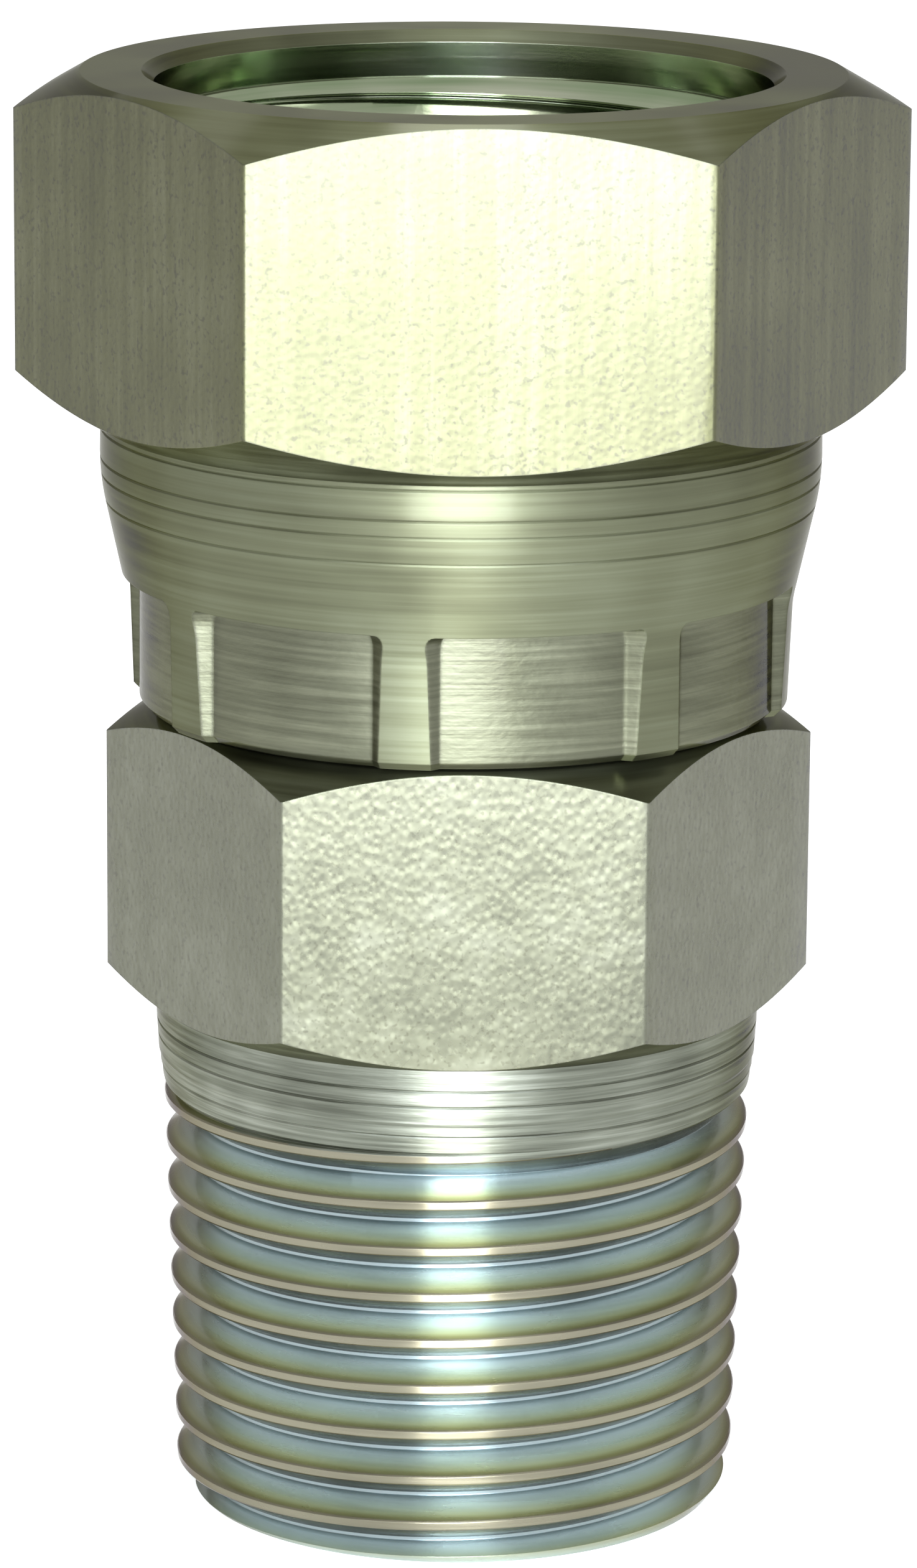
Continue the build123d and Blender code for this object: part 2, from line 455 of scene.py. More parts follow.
def add(tree: Tree, kind: str, sockets: dict | None = None, **settings: object) -> bpy.types.Node:
    """Adds one node with its settings and links.

    Args:
        tree: node tree of a material or the world.
        kind: Blender's name for the node, without the word ShaderNode.
        sockets: value, or output socket to link, for each input.
        settings: values of the node's own properties, with stops as a ramp's list of place and hex colour.

    Returns:
        The new node.
    """
    node = tree.nodes.new("ShaderNode" + kind)
    for name, value in settings.items():
        if name == "stops":
            ramp = node.color_ramp.elements
            while len(ramp) < len(value):
                ramp.new(0.5)
            for stop, (place, code) in zip(ramp, value):
                stop.position, stop.color = place, linear(code)
        else:
            setattr(node, name, value)
    for key, value in (sockets or {}).items():
        socket = node.inputs[key]
        if isinstance(value, bpy.types.NodeSocket):
            tree.links.new(value, socket)
        else:
            socket.default_value = value
    return node


def new_tree(name: str) -> tuple[bpy.types.Material, Tree]:
    """Makes an empty material.

    Args:
        name: name of the material.

    Returns:
        The material and its node tree.
    """
    material = bpy.data.materials.new(name)
    material.use_nodes = True
    material.node_tree.nodes.clear()
    return material, material.node_tree


@dataclass(frozen=True)
class ZincFinish:
    """Zinc plate under a yellow-green passivation, on steel that was turned, drawn, cut or pressed.

    Grain is the size, along X, Y and the axis, of the marks that the working left, and peel that of the fine
    relief over them. Sizes and depths are in millimetres. Tones are the film's shadowed, middle and light
    colours, roughness goes with them, and film is how thick and clear it lies over the zinc.
    """

    name: str
    tones: tuple[str, str, str]
    grain: tuple[float, float, float]
    grain_depth: float
    peel: tuple[float, float, float]
    peel_depth: float
    roughness: tuple[float, float]
    stretch: float = 0.0
    film: float = 0.6
    speck: str = "#3c3b2a"
    speck_share: float = 0.0
    worn_edge: float = 0.06
    relief: Peel = Peel.WAVY
    edge_tint: str = "#86826a"

    @property
    def drift(self) -> list[tuple[float, str]]:
        """The three tones as a colour ramp's stops."""
        return list(zip((0.0, 0.5, 1.0), self.tones))

    def colour(self, tree: Tree, bench: Socket, mottle: Socket) -> Socket:
        """Gives the colour of the film, which drifts with the mottling.

        Args:
            tree: the material's node tree.
            bench: object coordinates in millimetres; not used here.
            mottle: from 0 to 1, dark to light.

        Returns:
            The colour's socket.
        """
        return add(tree, "ValToRGB", {"Fac": mottle}, stops=self.drift).outputs["Color"]

    def bumps(self, tree: Tree, bench: Socket) -> Socket:
        """Gives the height of the fine relief, tilted so that it doesn't line up with the axis.

        Args:
            tree: the material's node tree.
            bench: object coordinates in millimetres.

        Returns:
            The height's socket.
        """
        peel = add(tree, "Mapping", {
            "Vector": bench,
            "Rotation": (0, math.radians(25), 0),
            "Scale": tuple(1 / size for size in self.peel),
        }).outputs["Vector"]
        if self.relief is Peel.PITTED:
            pits = {"Vector": peel, "Scale": 1.0, "Smoothness": 0.6, "Randomness": 0.9}
            return add(tree, "TexVoronoi", pits, feature="SMOOTH_F1").outputs["Distance"]
        return add(tree, "TexNoise", {"Vector": peel, "Scale": 1.0, "Detail": 2.0}).outputs["Fac"]

    def normal(self, tree: Tree, lines: Socket, bumps: Socket) -> Socket:
        """Gives the way the surface faces: worn edges, then the marks of the working, then the fine relief.

        Args:
            tree: the material's node tree.
            lines: height of the working's marks.
            bumps: height of the fine relief.

        Returns:
            The normal's socket.
        """
        worn = add(tree, "Bevel", {"Radius": self.worn_edge * MILLIMETRE}, samples=4).outputs["Normal"]
        lined = add(tree, "Bump", {
            "Height": lines,
            "Distance": self.grain_depth * MILLIMETRE,
            "Normal": worn,
        }).outputs["Normal"]
        return add(tree, "Bump", {
            "Height": bumps,
            "Distance": self.peel_depth * MILLIMETRE,
            "Normal": lined,
        }).outputs["Normal"]

    def material(self) -> bpy.types.Material:
        """Builds the material from the finish's marks and tones.

        Returns:
            The new material.
        """
        material, tree = new_tree(self.name)
        place = add(tree, "TexCoord").outputs["Object"]
        bench = add(tree, "Mapping", {"Vector": place, "Scale": (1 / MILLIMETRE,) * 3}).outputs["Vector"]
        marks = add(tree, "Mapping", {
            "Vector": bench,
            "Scale": tuple(1 / size for size in self.grain),
        }).outputs["Vector"]
        lines = add(tree, "TexNoise", {
            "Vector": marks,
            "Scale": 1.0,
            "Detail": 3.0,
            "Roughness": 0.6,
        }).outputs["Fac"]
        cloud = add(tree, "TexNoise", {"Vector": bench, "Scale": CLOUDS, "Detail": 2.0}).outputs["Fac"]
        # Two noises added up lie round 1.
        mixed = add(tree, "Math", {0: lines, 1: cloud}, operation="ADD").outputs[0]
        mottle = add(tree, "MapRange", {"Value": mixed, "From Min": 0.7, "From Max": 1.3}).outputs[0]
        dust = add(tree, "TexNoise", {"Vector": bench, "Scale": DUST, "Detail": 1.0}).outputs["Fac"]
        # Only the noise's lowest values become specks.
        specks = add(tree, "MapRange", {
            "Value": dust,
            "From Min": 0.30,
            "From Max": 0.42,
            "To Min": self.speck_share,
            "To Max": 0.0,
        }).outputs[0]
        tone = self.colour(tree, bench, mottle)
        colour = add(tree, "Mix", {0: specks, 6: tone, 7: linear(self.speck)}, data_type="RGBA").outputs[2]
        rough = add(tree, "MapRange", {
            "Value": mottle,
            "To Min": self.roughness[0],
            "To Max": self.roughness[1],
        }).outputs[0]
        # Highlights stretch up and down on the sides, and outwards on the end faces.
        axis = (0.0, 0.0, 1.0)
        around = add(tree, "VectorMath", {0: axis, 1: place}, operation="CROSS_PRODUCT").outputs[0]
        tangent = add(
            tree, "VectorTransform", {"Vector": around},
            vector_type="VECTOR", convert_from="OBJECT", convert_to="WORLD",
        ).outputs[0]
        shader = add(tree, "BsdfPrincipled", {
            "Base Color": colour,
            "Metallic": 1.0,
            "Roughness": rough,
            "Specular Tint": linear(self.edge_tint),
            "Anisotropic": self.stretch,
            "Anisotropic Rotation": 0.25,
            "Tangent": tangent,
            "Coat Weight": self.film,
            "Coat Roughness": 0.12,
            "Normal": self.normal(tree, lines, self.bumps(tree, bench)),
        })
        add(tree, "OutputMaterial", {"Surface": shader.outputs[0]})
        return material


@dataclass(frozen=True)
class ThreadFinish(ZincFinish):
    """The same film on a cut thread, thick and bluish in the root and thin and tan on the crest; that hue is
    the film's own tint. The paleness of the root and flanks against the darker crest is painted light,
    standing in for the light that bounces between the flanks.

    Radii in millimetres, at the end face of a taper thread. The stops go from the root, 0, to the crest, 1.
    """

    root_radius: float = 7.48
    crest_radius: float = CREST_RADIUS
    taper: float = TAPER
    # Painted light: the pale root and flanks and the darker crest stand in for light bounced between the
    # flanks.
    bands: tuple[tuple[float, str], ...] = (
        (0.0, "#9aa9aa"),
        (0.15, "#c0cccd"),
        (0.45, "#b8c4bb"),
        (0.72, "#b4b99a"),
        (0.86, "#96976f"),
        (0.97, "#8a8670"),
    )

    def colour(self, tree: Tree, bench: Socket, mottle: Socket) -> Socket:
        """Gives the film's tint and the painted bounce light by the height in the thread form.

        Args:
            tree: the material's node tree.
            bench: object coordinates in millimetres.
            mottle: from 0 to 1, dark to light.

        Returns:
            The colour's socket.
        """
        flat = add(tree, "VectorMath", {0: bench, 1: (1.0, 1.0, 0.0)}, operation="MULTIPLY").outputs[0]
        radius = add(tree, "VectorMath", {0: flat}, operation="LENGTH").outputs["Value"]
        height = add(tree, "SeparateXYZ", {0: bench}).outputs["Z"]
        fall = -self.taper / 2
        level = add(tree, "Math", {0: height, 1: fall, 2: radius}, operation="MULTIPLY_ADD").outputs[0]
        share = add(tree, "MapRange", {
            "Value": level,
            "From Min": self.root_radius,
            "From Max": self.crest_radius,
        }).outputs[0]
        band = add(tree, "ValToRGB", {"Fac": share}, stops=self.bands).outputs["Color"]
        drift = add(tree, "ValToRGB", {"Fac": mottle}, stops=self.drift).outputs["Color"]
        both = {0: 1.0, 6: band, 7: drift}
        return add(tree, "Mix", both, data_type="RGBA", blend_type="MULTIPLY").outputs[2]


# Turned on a lathe: fine rings round the axis spread each highlight up and down, and keep it narrow across.
TURNED = ZincFinish(
    "turned zinc-plated steel",
    tones=("#575943", "#656850", "#73775f"),
    grain=(14.0, 14.0, 0.22),
    grain_depth=0.004,
    peel=(0.3, 0.3, 0.12),
    peel_depth=0.001,
    roughness=(0.32, 0.46),
    stretch=0.6,
    film=0.3,
)
# Left as the nut's bar was drawn: faint lines along the axis, a fine orange peel and small dark specks.
NUT_FLAT = ZincFinish(
    "drawn zinc-plated steel, fine grain",
    tones=("#4c4d30", "#58593a", "#66674b"),
    grain=(0.4, 0.4, 12.0),
    grain_depth=0.001,
    peel=(0.22, 0.22, 0.22),
    peel_depth=0.010,
    roughness=(0.32, 0.42),
    film=0.75,
    speck_share=0.6,
    relief=Peel.PITTED,
)
# Left as the body's bar was drawn: a deeper orange peel that glitters where it faces the light.
BODY_FLAT = ZincFinish(
    "drawn zinc-plated steel, coarse grain",
    tones=("#5a5c4a", "#616350", "#6b6d5b"),
    grain=(0.9, 0.9, 0.9),
    grain_depth=0.001,
    peel=(0.21, 0.21, 0.28),
    peel_depth=0.012,
    roughness=(0.24, 0.34),
    film=1.0,
    speck_share=0.4,
    relief=Peel.PITTED,
)
# Cut by a die: smooth flanks whose film runs from blue-grey at the root, over yellow-green, to a tan crest;
# the pale root and flanks against the darker crest are painted light bounced between the flanks.
THREAD = ThreadFinish(
    "die-cut zinc-plated thread",
    tones=("#dcdcdc", "#efefef", "#ffffff"),
    grain=(9.0, 9.0, 0.25),
    grain_depth=0.004,
    peel=(0.3, 0.3, 0.12),
    peel_depth=0.001,
    roughness=(0.20, 0.32),
    stretch=0.6,
    worn_edge=0.03,
    edge_tint="#75664f",
)
# Scuffed by the end of the thread's die: rings that are torn in places, paler than the turned surfaces.
SCUFFED = ZincFinish(
    "scuffed zinc-plated steel",
    tones=("#55584c", "#777b6d", "#a0a496"),
    grain=(5.0, 5.0, 0.13),
    grain_depth=0.016,
    peel=(0.5, 0.5, 0.09),
    peel_depth=0.008,
    roughness=(0.32, 0.46),
    stretch=0.6,
    film=0.3,
    worn_edge=0.03,
)
# Pressed by the jaws: the rings are flattened, with short scuffs across them.
PRESSED = ZincFinish(
    "pressed zinc-plated steel",
    tones=("#4a4b39", "#5e604c", "#73755f"),
    grain=(5.0, 5.0, 0.16),
    grain_depth=0.011,
    peel=(0.35, 0.35, 0.2),
    peel_depth=0.012,
    roughness=(0.30, 0.46),
    stretch=0.4,
    film=0.4,
    worn_edge=0.18,
)
# Bored and tapped inside the mouth: its pale tones are painted light that brightens the mouth,
# and its smooth film throws real light from wall to wall.
BORED = ZincFinish(
    "bored zinc-plated steel",
    tones=("#8fa57c", "#abb897", "#c6ccb2"),
    grain=(14.0, 14.0, 0.30),
    grain_depth=0.002,
    peel=(0.3, 0.3, 0.12),
    peel_depth=0.001,
    roughness=(0.10, 0.16),
    stretch=0.4,
    worn_edge=0.03,
)


def to_frame(piece: Solid, crease: float = 20.0) -> None:
    """Brings a whole piece from millimetres to metres and smooths it, with a crease where faces meet steeply.

    Args:
        piece: the piece on the bench.
        crease: angle in degrees from which an edge stays sharp.
    """
    pick_up(piece)
    piece.scale = (MILLIMETRE,) * 3
    bpy.ops.object.transform_apply(location=True, rotation=True, scale=True)
    bpy.ops.object.shade_smooth_by_angle(angle=math.radians(crease))


def dress(
    piece: Solid, finishes: Sequence[ZincFinish], choose: Callable[[Vector, Vector], ZincFinish]
) -> None:
    """Gives each face of a piece one of its finishes.

    Args:
        piece: the piece, in millimetres.
        finishes: the finishes of its material slots.
        choose: gives the finish for a face's centre and normal.
    """
    piece.data.materials.clear()
    for finish in finishes:
        piece.data.materials.append(bpy.data.materials.get(finish.name) or finish.material())
    slots = {finish.name: number for number, finish in enumerate(finishes)}
    for face in piece.data.polygons:
        face.material_index = slots[choose(face.center, face.normal).name]


@dataclass
class AdapterBody:
    """The fixed half: threaded end, shoulder, hexagon, and the head and cone nose inside the nut.

    Lengths are in millimetres, and a corner is a radius and a height.
    """

    hexagon: HexagonBar = HexagonBar(
        across_flats=18.18, foot=15.33, top=24.17, foot_circle=18.06, top_circle=17.9)
    thread: PipeThread = PipeThread(
        CREST_RADIUS, crest_width=0.27, root_width=0.10, crest_height=1.316, taper=TAPER)
    rod_span: tuple[float, float] = (-0.4, 13.1)  # the rod before its end is chamfered
    past_rod: Corner = (10.0, 14.0)  # clear of the rod, outwards and upwards
    end_face_radius: float = 7.87
    end_chamfer: float = 0.7
    core: Corner = (7.4, 11.0)  # foot of the blank, hidden inside the thread
    run_out: tuple[Corner, Corner] = ((7.70, 11.75), (8.79, 12.80))
    shoulder: tuple[Corner, ...] = (
        (8.82, 12.95), (8.84, 13.2), (8.88, 13.32), (8.89, 13.6), (8.94, 13.7), (8.96, 14.1), (8.975, 14.3),
        (9.0, 14.7), (9.02, 15.33))
    shoulder_grooves: tuple[float, ...] = (13.28, 14.2, 14.68)
    groove_depth: float = 0.035
    inside_hexagon: float = 16.0  # height at which the shoulder ends, hidden in the hexagon
    core_step: float = 0.6  # by which the blank is wider than the neck there
    neck_radius: float = 7.55
    neck_root: float = 0.3
    head: tuple[Corner, ...] = ((7.55, 28.52), (8.573, 29.543), (8.92, 31.12), (8.92, 33.07))
    nose: tuple[Corner, ...] = ((7.2, 33.07), (7.2, 34.47), (5.699, 37.07))
    bore_radius: float = 5.0
    broken_edge: float = 0.2
    seat_radius: float = 6.6
    seat_depth: float = 2.771
    skin_radius: float = 7.2  # what lies outside this is thread or shoulder, up to the hexagon
    thread_top: float = 12.6  # where the thread's finish gives way to the shoulder's

    def threaded_end(self) -> Solid:
        """Makes the threaded rod, its first turn chamfered at the end face.

        Returns:
            The closed rod.
        """
        rod = self.thread.rod("threaded_end", *self.rod_span)
        full_radius = self.thread.crest_radius + self.end_chamfer * self.thread.taper / 2
        slope = (full_radius - self.end_face_radius) / self.end_chamfer
        reach, above = self.past_rod
        envelope = turn("end_chamfer", [
            (0, 0),
            (self.end_face_radius, 0),
            (reach, (reach - self.end_face_radius) / slope),
            (reach, above),
            (0, above),
        ])
        work(rod, envelope, Cut.KEEP_COMMON)
        return rod

    def blank(self) -> Solid:
        """Turns the blank: run-out of the thread, shoulder, neck, head and nose.

        Returns:
            The closed blank.
        """
        top, neck, arm = self.hexagon.top, self.neck_radius, 2  # the arms only give the corner's directions
        root_arc = round_corner((neck + arm, top), (neck, top), (neck, top + arm), self.neck_root)
        shoulder = grooved(self.shoulder, self.shoulder_grooves, self.groove_depth)
        return turn("blank", [
            (0, self.core[1]),
            self.core,
            *self.run_out,
            *shoulder,
            (shoulder[-1][0], self.inside_hexagon),
            (neck + self.core_step, self.inside_hexagon),
            (neck + self.core_step, top - self.neck_root),
            *root_arc,
            *self.head,
            *self.nose,
            (0, self.nose[-1][1]),
        ])

    def passage(self) -> Solid:
        """Makes the drilled way through, with the cone seat in the male end and a broken edge at the nose.

        Returns:
            The closed tool that cuts it.
        """
        bore, tip, edge = self.bore_radius, self.nose[-1][1], self.broken_edge
        flare = (self.seat_radius - bore) / self.seat_depth
        return turn("passage", [
            (0, -SPARE),
            (self.seat_radius + SPARE * flare, -SPARE),
            (bore, self.seat_depth),
            (bore, tip - edge),
            (bore + edge + SPARE, tip + SPARE),
            (0, tip + SPARE),
        ])

    def finish_of(self, centre: Vector, normal: Vector) -> ZincFinish:
        """Chooses a face's finish: turned, drawn flat, thread or scuffed shoulder.

        Args:
            centre: the face's centre.
            normal: the face's normal.

        Returns:
            The finish.
        """
        if self.hexagon.is_flat(centre, normal):
            return BODY_FLAT
        if centre.xy.length > self.skin_radius:
            if self.thread_top <= centre.z < self.hexagon.foot - HAIR:
                return SCUFFED
            if HAIR < centre.z < self.thread_top:
                return THREAD
        return TURNED

    def build(self) -> Solid:
        """Builds and dresses the whole body.

        Returns:
            The body, in metres.
        """
        body = self.threaded_end()
        body.name = "adapter_body"
        work(body, self.blank(), Cut.WELD)
        work(body, self.hexagon.build("body_hexagon"), Cut.WELD)
        work(body, self.passage(), Cut.REMOVE)
        dress(body, (TURNED, BODY_FLAT, THREAD, SCUFFED), self.finish_of)
        to_frame(body)
        return body


@dataclass
class SwivelNut:
    """The turning half: hexagon with the threaded mouth, collar, swaged taper and crimped skirt.

    Lengths are in millimetres and angles in degrees, and a corner is a radius and a height. Pad turn is how
    far the first pad stands round from the camera side.
    """

    hexagon: HexagonBar = HexagonBar(
        across_flats=22.73, foot=32.76, top=43.02, foot_circle=21.26, top_circle=22.36, turned_by=1.33)
    # Its far wall is the one that is seen, through the mouth.
    thread: PipeThread = PipeThread(
        crest_radius=8.55, crest_width=0.12, root_width=0.30, crest_height=41.05, seen_side=88.8)
    tap_span: tuple[float, float] = (33.93, 42.07)
    foot: float = 24.32
    foot_radius: float = 9.74
    foot_chamfer: float = 0.22
    skirt_top: Corner = (9.86, 27.6)
    skirt_bend: float = 3.0
    collar_foot: Corner = (10.63, 31.1)
    collar_bend: float = 7.0
    collar_grooves: tuple[float, ...] = (30.46, 31.24, 31.72, 32.6)
    groove_depth: float = 0.03
    inside_hexagon: float = 33.2  # height at which the collar ends, hidden in the hexagon
    hollow: tuple[Corner, ...] = (
        (0, 23.8), (8.11, 23.8), (8.11, 24.32), (8.23, 27.6), (9.0, 31.1), (9.0, 33.32), (7.85, 34.47),
        (7.85, 40.67), (8.8, 41.62), (9.03, 41.62), (9.03, 42.67), (9.88, 43.52), (0, 43.52))
    pad_count: int = 8
    pad_angle: float = 33.2
    pad_turn: float = 12.13
    pad_depth: float = 0.25
    pad_top: float = 28.27
    pad_corner: float = 0.5
    jaw_reach: float = 12.26
    jaw_opening: float = 45.0  # by which each side wall leans out from the radius at its foot
    jaw_facets: int = 24
    pressed_radius: float = 9.85  # what lies inside this on the skirt's outside may be a pad
    bored_radius: float = 9.3  # this and the two heights bound what is bored or tapped
    bored_span: tuple[float, float] = (33.5, 42.66)

    def outside(self) -> Solid:
        """Turns the collar, swaged taper and skirt as one solid that runs up into the hexagon.

        Returns:
            The closed solid.
        """
        foot, collar, high = self.foot_radius, self.collar_foot[0], self.inside_hexagon
        wall = [
            (foot, self.foot + self.foot_chamfer),
            *round_corner((foot, self.foot), self.skirt_top, self.collar_foot, self.skirt_bend),
            *round_corner(self.skirt_top, self.collar_foot, (collar, high), self.collar_bend, steps=12),
            (collar - HAIR, self.hexagon.foot),
            (collar - HAIR, high),
        ]
        wall = grooved(wall, self.collar_grooves, self.groove_depth)
        return turn("nut_outside", [(0, self.foot), (foot - self.foot_chamfer, self.foot), *wall, (0, high)])

    def jaw(self, floor: float, reach: float, low: float, high: float) -> Solid:
        """Makes one jaw of the closing tool, towards +X: a hollow face and side walls that open outwards.

        Args:
            floor: radius of its hollow face.
            reach: how far out it goes.
            low: height of its lower end.
            high: height of its upper end.

        Returns:
            The closed block.
        """
        half, run = math.radians(self.pad_angle / 2), reach - floor
        arc = [half * (2 * i / self.jaw_facets - 1) for i in range(self.jaw_facets + 1)]
        points = [(floor * math.cos(a), floor * math.sin(a)) for a in arc]
        for side, corner in ((1, points[-1]), (-1, points[0])):
            wall = side * (half + math.radians(self.jaw_opening))
            points.append((corner[0] + run * math.cos(wall), corner[1] + run * math.sin(wall)))
        block = draw_line("jaw", [(x, y, low) for x, y in points])
        bpy.ops.object.mode_set(mode="EDIT")
        bpy.ops.mesh.select_all(action="SELECT")
        bpy.ops.mesh.edge_face_add()
        bpy.ops.mesh.extrude_region_move(TRANSFORM_OT_translate={"value": (0, 0, high - low)})
        bpy.ops.object.mode_set(mode="OBJECT")
        close_up(block)
        return block

    def flare(self, block: Solid, height: float, rise: float, radius: float, reach: float) -> None:
        """Extrudes one end of a jaw further, closing in or opening out round the axis.

        Args:
            block: the jaw.
            height: height of the end face.
            rise: how far it is extruded, down where negative.
            radius: radius of the hollow face there.
            reach: radius of the hollow face at the new end.
        """
        select(
            block,
            Kind.FACES,
            lambda centre, normal: abs(centre.z - height) < LEVEL and abs(normal.z) > LYING,
        )
        bpy.ops.mesh.extrude_region_move(TRANSFORM_OT_translate={"value": (0, 0, rise)})
        scale = reach / radius
        bpy.ops.transform.resize(value=(scale, scale, 1), center_override=(0, 0, height + rise))
        bpy.ops.object.mode_set(mode="OBJECT")

    def pressed_pads(self) -> Solid:
        """Makes all eight jaws, with rounded top corners, as one tool that presses the pads into the skirt.

        Returns:
            The tool.
        """
        floor, low = self.foot_radius - self.pad_depth, self.foot + self.foot_chamfer
        drop, outward = self.foot_chamfer + SPARE, 0.3  # an edge that gains this much radius runs outwards
        block = self.jaw(floor, self.jaw_reach, low, self.pad_top)
        select(
            block,
            Kind.EDGES,
            lambda a, b: min(a.z, b.z) > self.pad_top - LEVEL and abs(a.xy.length - b.xy.length) > outward,
        )
        bpy.ops.mesh.bevel(offset=self.pad_corner, segments=6, affect="EDGES")
        bpy.ops.object.mode_set(mode="OBJECT")
        self.flare(block, low, -drop, floor, floor - drop)
        close_up(block)
        return copies_around(block, self.pad_angles())

    def inner_bulges(self) -> Solid:
        """Makes the same eight places on the inside, where the skirt stands in behind the head.

        Returns:
            The solid that the hollow leaves standing.
        """
        inner = self.hollow[1][0]
        floor, high = inner - self.pad_depth, self.pad_top - self.pad_depth
        block = self.jaw(floor, self.foot_radius, self.foot - 2 * SPARE, high)
        self.flare(block, high, self.pad_depth, floor, inner)
        close_up(block)
        return copies_around(block, self.pad_angles())

    def pad_angles(self) -> list[float]:
        """Middles of the pads, in degrees from +X."""
        return [self.pad_turn - 90 + n * 360 / self.pad_count for n in range(self.pad_count)]

    def finish_of(self, centre: Vector, normal: Vector) -> ZincFinish:
        """Chooses a face's finish: turned, drawn flat, pressed pad or bored.

        Args:
            centre: the face's centre.
            normal: the face's normal.

        Returns:
            The finish.
        """
        if self.hexagon.is_flat(centre, normal):
            return NUT_FLAT
        radius, outwards = centre.xy.length, normal.xy.dot(centre.xy)
        low, high = self.bored_span
        if radius < self.bored_radius and low < centre.z < high and normal.z < FACING_UP:
            return BORED
        rim, edge, sideways = 0.05, 0.1, 0.93  # millimetres, degrees, and share of the radius
        beside_pads = self.foot + rim < centre.z < self.pad_top + HAIR and radius < self.pressed_radius
        if beside_pads and outwards > 0:
            spacing = 360 / self.pad_count
            angle = math.degrees(math.atan2(centre.y, centre.x)) - self.pad_turn + 90
            off = abs((angle + spacing / 2) % spacing - spacing / 2)
            side_wall = outwards < sideways * radius and abs(normal.z) < STEEP
            if side_wall or off < self.pad_angle / 2 + edge:
                return PRESSED
        return TURNED

    def build(self) -> Solid:
        """Builds and dresses the whole nut.

        Returns:
            The nut, in metres.
        """
        nut = self.outside()
        nut.name = "crimped_nut"
        work(nut, self.pressed_pads(), Cut.REMOVE)
        work(nut, self.hexagon.build("nut_hexagon"), Cut.WELD)
        hollow = turn("nut_hollow", self.hollow)
        work(hollow, self.inner_bulges(), Cut.REMOVE)
        work(nut, hollow, Cut.REMOVE)
        work(nut, self.thread.rod("tap", *self.tap_span), Cut.REMOVE)
        dress(nut, (TURNED, NUT_FLAT, PRESSED, BORED), self.finish_of)
        to_frame(nut)
        return nut


@dataclass(frozen=True)
class Softbox:
    """A rectangular lamp that faces the adapter.

    Places and sizes are in metres, and light is given as radiance, where 1 is as bright as white paper.
    """

    name: str
    place: tuple[float, float, float]
    aim: tuple[float, float, float]
    size: tuple[float, float]
    radiance: float
    colour: str = "#ffffff"

    def build(self) -> bpy.types.Object:
        """Hangs the lamp.

        Returns:
            The lamp.
        """
        bpy.ops.object.select_all(action="DESELECT")
        bpy.ops.object.light_add(type="AREA", location=self.place)
        lamp = bpy.context.object
        lamp.name = self.name
        lamp.rotation_euler = (Vector(self.aim) - Vector(self.place)).to_track_quat("-Z", "Y").to_euler()
        lamp.data.shape = "RECTANGLE"
        lamp.data.size, lamp.data.size_y = self.size
        lamp.data.color = linear(self.colour)[:3]
        lamp.data.energy = self.radiance * math.pi * self.size[0] * self.size[1]
        return lamp


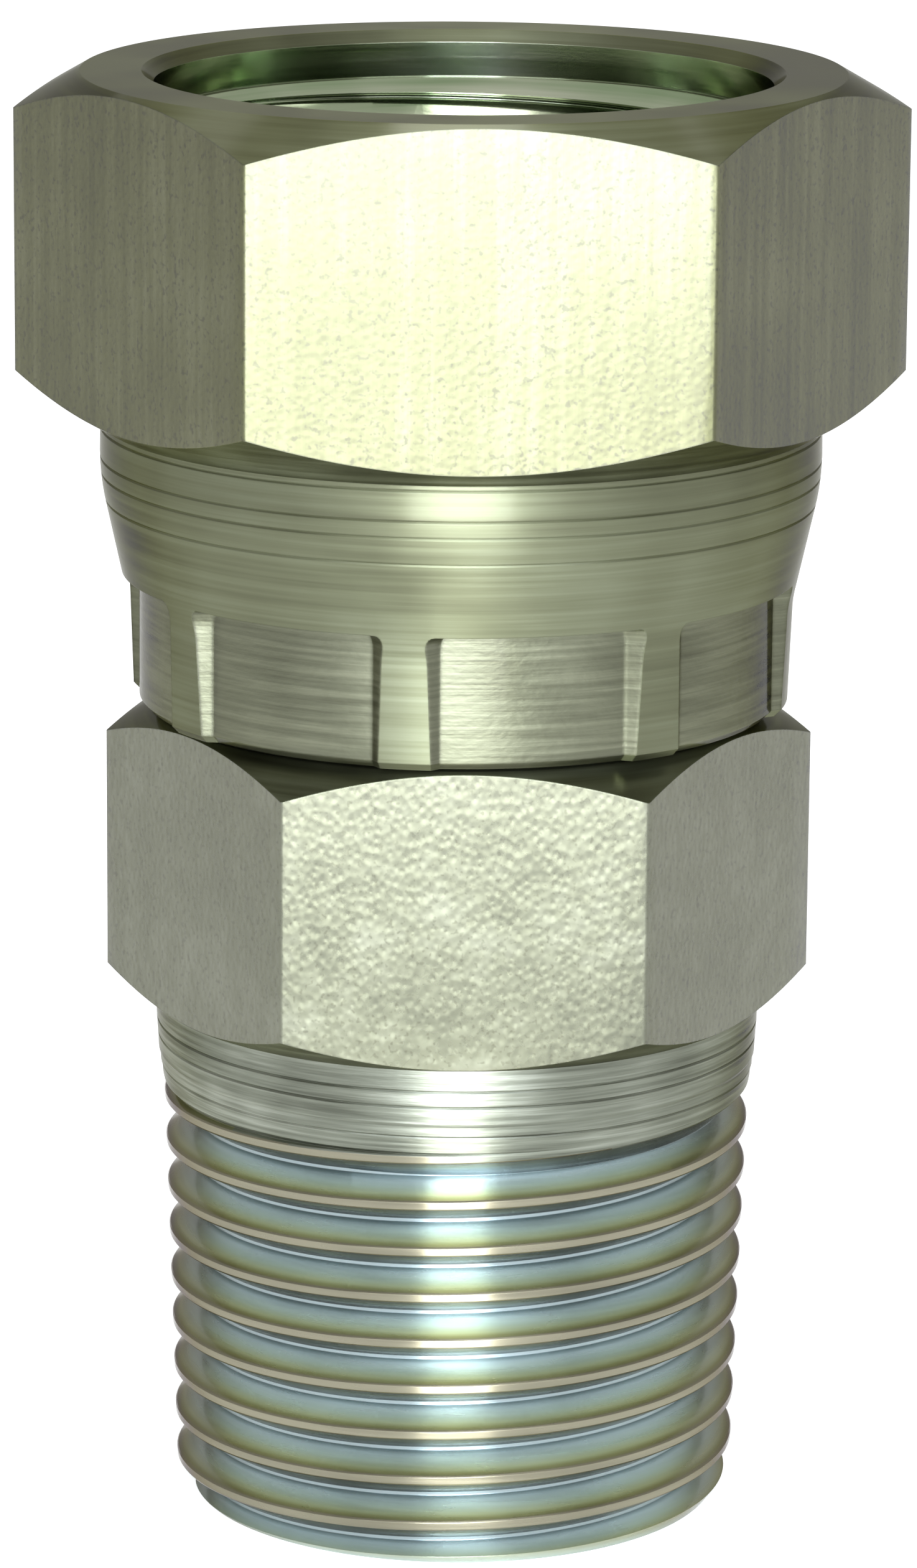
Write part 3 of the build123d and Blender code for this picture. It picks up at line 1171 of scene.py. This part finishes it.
@dataclass
class Studio:
    """Pale floor, soft lamps and the camera at the photograph's angle.

    Lengths are in metres, the sensor's in millimetres, and the camera's angles in radians. Focal pixels and
    image height are in pixels of the photograph.
    """

    camera_distance: float = 0.20249
    camera_height: float = 0.07013
    yaw: float = math.radians(1.2066)
    pitch: float = 0.2349
    roll: float = -0.0077
    focal_pixels: float = 11230.51
    image_height: float = 2520.0
    sensor: float = 36.0
    nearest: float = 0.01
    floor_size: float = 6.0
    floor_colour: str = "#e6e6e4"
    floor_glow: float = 0.45
    world_light: float = 0.6
    softboxes: tuple[Softbox, ...] = (
        Softbox("front softbox", (-0.0063, -0.30, 0.10), (0, 0, 0.03), (0.15, 0.24), 15.0, "#e2eaff"),
        Softbox("wide front fill", (-0.0063, -0.36, 0.16), (0, 0, 0.03), (0.62, 0.34), 2.5, "#eef2ff"),
        Softbox("low front card", (-0.0026, -0.125, 0.017), (0, 0, 0.02), (0.07, 0.034), 6.0),
        Softbox("thread card", (-0.0003, -0.021, 0.001), (0, -0.004, 0.02), (0.0085, 0.018), 8.0),
        Softbox("overhead strip", (0.0, 0.085, 0.35), (0, 0, 0.01), (0.075, 0.09), 6.0),
        Softbox("back fill", (0.0, 0.34, 0.36), (0, 0, 0.03), (0.36, 0.24), 1.8),
    )

    def floor(self) -> bpy.types.Object:
        """Lays a pale floor that looks white to the camera and in reflections, and keeps the shadow.

        Returns:
            The floor.
        """
        bpy.ops.object.select_all(action="DESELECT")
        bpy.ops.mesh.primitive_plane_add(size=self.floor_size, location=(0, 0, 0))
        floor = bpy.context.object
        floor.name = "floor"
        material, tree = new_tree("matt white paper")
        path = add(tree, "LightPath").outputs
        seen = path["Is Camera Ray"]
        for ray in ("Is Glossy Ray", "Is Transmission Ray"):
            seen = add(tree, "Math", {0: seen, 1: path[ray]}, operation="MAXIMUM").outputs[0]
        lift = add(tree, "Math", {0: seen, 1: self.floor_glow}, operation="MULTIPLY").outputs[0]
        paper = add(tree, "BsdfDiffuse", {"Color": linear(self.floor_colour)}).outputs[0]
        glow = add(tree, "Emission", {"Color": (1, 1, 1, 1), "Strength": lift}).outputs[0]
        add(tree, "OutputMaterial", {"Surface": add(tree, "AddShader", {0: paper, 1: glow}).outputs[0]})
        floor.data.materials.append(material)
        return floor

    def world(self) -> None:
        """Gives an even pale light from all round."""
        world = bpy.data.worlds.new("studio walls")
        world.use_nodes = True
        world.node_tree.nodes.clear()
        light = add(world.node_tree, "Background", {"Color": (1, 1, 1, 1), "Strength": self.world_light})
        add(world.node_tree, "OutputWorld", {"Surface": light.outputs[0]})
        bpy.context.scene.world = world

    def camera(self) -> bpy.types.Object:
        """Sets up the camera, fitted to the photograph's thread crests, hexagons and mouth.

        Returns:
            The camera.
        """
        sin, cos = math.sin, math.cos
        level = cos(self.pitch)
        forward = Vector((sin(self.yaw) * level, cos(self.yaw) * level, -sin(self.pitch)))
        right = Vector((cos(self.yaw), -sin(self.yaw), 0.0))
        down = forward.cross(right)
        rolled_right = right * cos(self.roll) + down * sin(self.roll)
        rolled_down = down * cos(self.roll) - right * sin(self.roll)
        turned = Matrix((rolled_right, -rolled_down, -forward)).transposed()
        bpy.ops.object.select_all(action="DESELECT")
        bpy.ops.object.camera_add()
        camera = bpy.context.object
        place = Vector((-sin(self.yaw), -cos(self.yaw), 0.0)) * self.camera_distance
        place += Vector((0, 0, self.camera_height))
        camera.matrix_world = Matrix.Translation(place) @ turned.to_4x4()
        camera.data.sensor_width = self.sensor
        camera.data.lens = self.focal_pixels * camera.data.sensor_width / self.image_height
        camera.data.clip_start = self.nearest
        bpy.context.scene.camera = camera
        return camera

    def build(self) -> None:
        """Sets the stage, the lamps, the camera and the plain view."""
        self.floor()
        self.world()
        for softbox in self.softboxes:
            softbox.build()
        self.camera()
        bpy.context.scene.view_settings.view_transform = "Standard"


def main() -> None:
    """Loads the frame, builds each piece on its body, and sets the stage."""
    logging.basicConfig(level=logging.INFO, format="%(message)s")
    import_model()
    pieces = (
        (AdapterBody(), "body", "body", "body_steel"),
        (SwivelNut(), "nut", "swivel_nut", "nut_steel"),
    )
    for part, body, node, slot in pieces:
        piece = part.build()
        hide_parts(node)
        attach(piece, body)
        low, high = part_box(node)
        LOG.info("%s: %d faces, CAD box %s to %s mm", piece.name, len(piece.data.polygons),
                 [round(v / MILLIMETRE, 2) for v in low], [round(v / MILLIMETRE, 2) for v in high])
    Studio().build()


if __name__ == "__main__":
    main()
